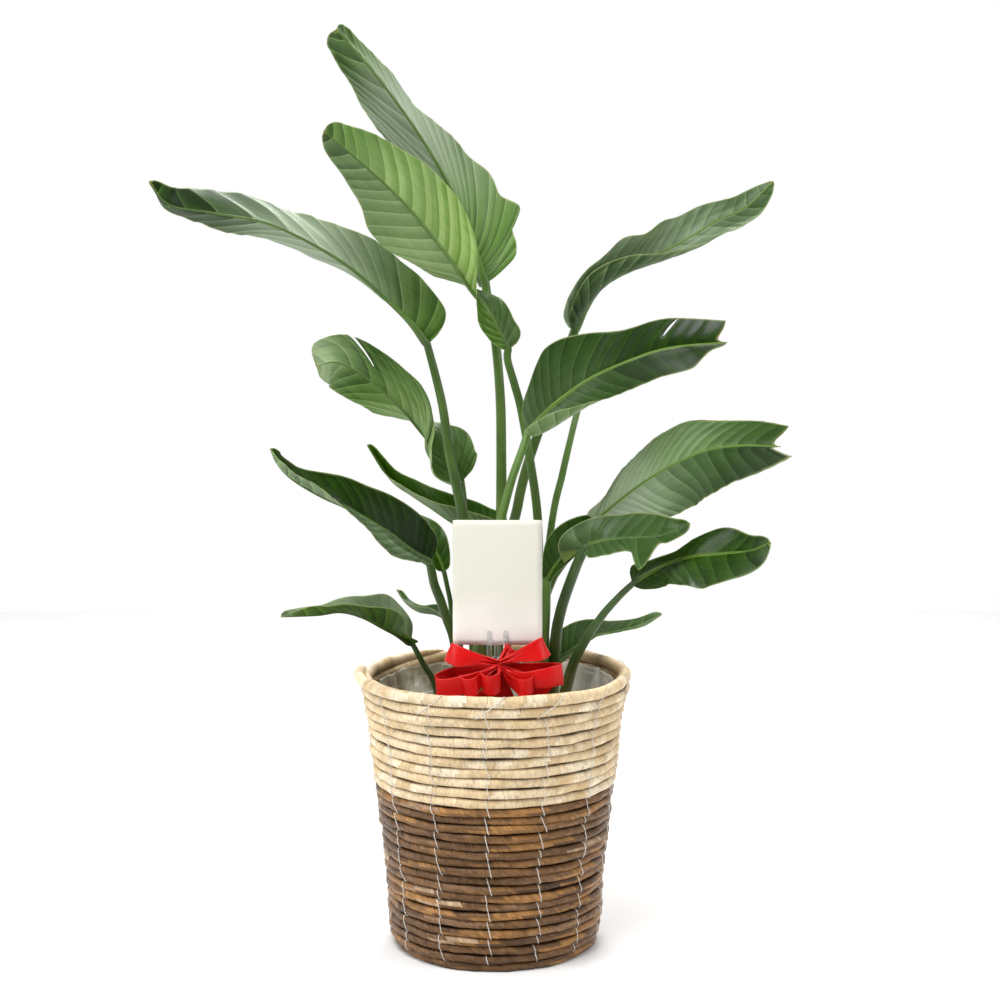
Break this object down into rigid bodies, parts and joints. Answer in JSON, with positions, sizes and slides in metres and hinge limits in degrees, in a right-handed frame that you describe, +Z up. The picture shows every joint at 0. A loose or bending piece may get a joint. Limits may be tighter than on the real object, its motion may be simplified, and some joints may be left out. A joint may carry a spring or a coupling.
{
  "type": "potted bird of paradise",
  "caption": "Young bird of paradise with long-stalked glossy leaves, potted in soil and standing in a lined, coiled two-tone basket with a plain gift card and a satin bow.",
  "frame": {"origin": "centre of the basket's flat base, on the surface it stands on", "axes": "+Z up along the basket's axis, -Y towards the viewer that the card faces, +X to that viewer's right"},
  "size_m": [0.6452, 0.429, 0.9788],
  "materials": {
    "leaf": "glossy, leathery leaf",
    "leaf_stalk": "smooth green stalk, satin",
    "soil": "moist bark and peat mix, matte",
    "pot_plastic": "pale moulded plastic, satin",
    "clear_film": "crumpled clear film, glossy",
    "brown_coil": "dried brown stalks wound into coils, low sheen",
    "pale_coil": "straw-coloured dried stalks in thick coils, low sheen",
    "card_paper": "smooth uncoated card",
    "clear_plastic": "clear moulded plastic, glossy",
    "ribbon_satin": "red satin ribbon"
  },
  "bodies": {
    "root": {"blade_top_back": "leaf", "stalk_top_back": "leaf_stalk", "blade_top_front": "leaf", "stalk_top_front": "leaf_stalk", "blade_left_long": "leaf", "stalk_left_long": "leaf_stalk", "blade_left_split": "leaf", "stalk_left_split": "leaf_stalk", "blade_left_low": "leaf", "stalk_left_low": "leaf_stalk", "blade_left_inner": "leaf", "stalk_left_inner": "leaf_stalk", "blade_left_narrow": "leaf", "stalk_left_narrow": "leaf_stalk", "blade_left_arching": "leaf", "stalk_left_arching": "leaf_stalk", "blade_left_small": "leaf", "stalk_left_small": "leaf_stalk", "blade_right_high": "leaf", "stalk_right_high": "leaf_stalk", "blade_right_middle": "leaf", "stalk_right_middle": "leaf_stalk", "blade_back": "leaf", "stalk_back": "leaf_stalk", "blade_right_wide": "leaf", "stalk_right_wide": "leaf_stalk", "blade_right_front": "leaf", "stalk_right_front": "leaf_stalk", "blade_right_inner": "leaf", "stalk_right_inner": "leaf_stalk", "blade_right_low": "leaf", "stalk_right_low": "leaf_stalk", "blade_right_lowest": "leaf", "stalk_right_lowest": "leaf_stalk", "soil": "soil", "nursery_pot": "pot_plastic", "basket_liner": "clear_film", "basket_base": "brown_coil", "basket_brown_band": "brown_coil", "basket_cream_band": "pale_coil", "card": "card_paper", "card_pick": "clear_plastic", "ribbon_bow": "ribbon_satin"}
  },
  "joints": []
}
